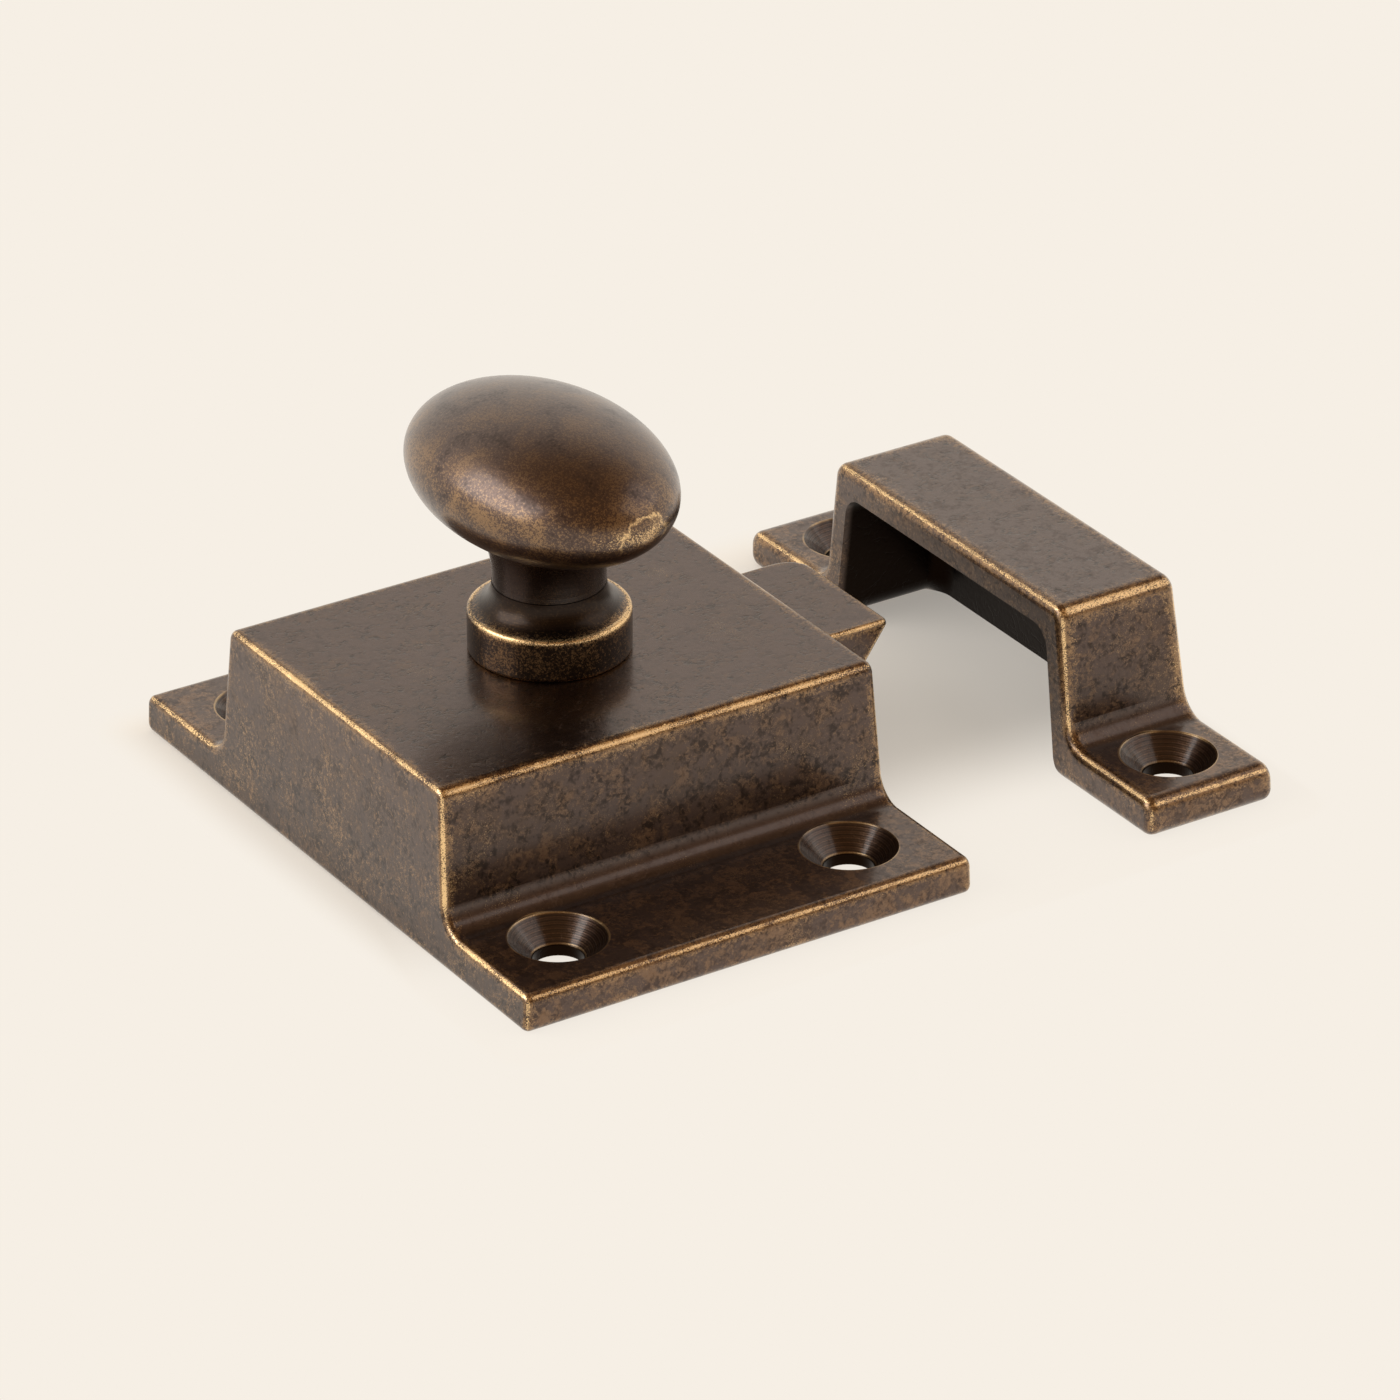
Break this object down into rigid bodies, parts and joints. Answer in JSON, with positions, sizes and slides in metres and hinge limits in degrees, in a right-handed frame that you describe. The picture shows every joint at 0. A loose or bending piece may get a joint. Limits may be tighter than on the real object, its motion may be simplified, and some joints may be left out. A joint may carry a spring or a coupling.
{
  "type": "cupboard latch",
  "caption": "Surface-mounted cupboard latch: an oval turn knob on a drafted cast case draws a sprung, bevelled bolt, with a separate box strike to catch it.",
  "frame": {"origin": "middle of the case's mounting face, the centre of its four screw holes", "axes": "+X is the way the bolt shoots, towards the strike; +Y runs from flange to flange; +Z points out of the door towards the knob"},
  "size_m": [0.0709, 0.0606, 0.0364],
  "materials": {
    "aged_brass": "dark brown patina on cast brass, rubbed to bright brass along the edges",
    "plain_brass": "dull unplated brass sheet",
    "steel": "turned mild steel",
    "spring_steel": "bright drawn spring wire"
  },
  "bodies": {
    "case_body": {"case": "aged_brass", "back_plate": "plain_brass", "back_plate_screws": "steel", "bearing_collar": "aged_brass", "thrust_washer": "plain_brass", "left_spring": "spring_steel", "right_spring": "spring_steel"},
    "knob_body": {"knob": "aged_brass", "spindle": "steel", "crank_arm": "steel", "crank_pin": "steel", "retaining_clip": "spring_steel"},
    "bolt_body": {"bolt": "aged_brass", "left_guide_pin": "steel", "right_guide_pin": "steel"},
    "strike_body": {"strike": "aged_brass"}
  },
  "joints": [
    {"name": "knob_turn", "type": "hinge", "parent": "case_body", "child": "knob_body", "pos_m": [0, 0, 0.015], "axis": [0, 0, -1], "range_deg": [0, 90]},
    {"name": "bolt_slide", "type": "slide", "parent": "case_body", "child": "bolt_body", "axis": [1, 0, 0], "range_m": [-0.00827, 0], "stiffness_N_per_m": 1630, "springref_m": 0.002, "deforming": ["left_spring", "right_spring"]},
    {"name": "strike_approach", "type": "slide", "parent": "case_body", "child": "strike_body", "axis": [1, 0, 0], "range_m": [-0.0155, 0]}
  ],
  "couplings": [
    {"joint": "knob_turn", "follows": "bolt_slide", "rad_per_m": -189.94}
  ]
}
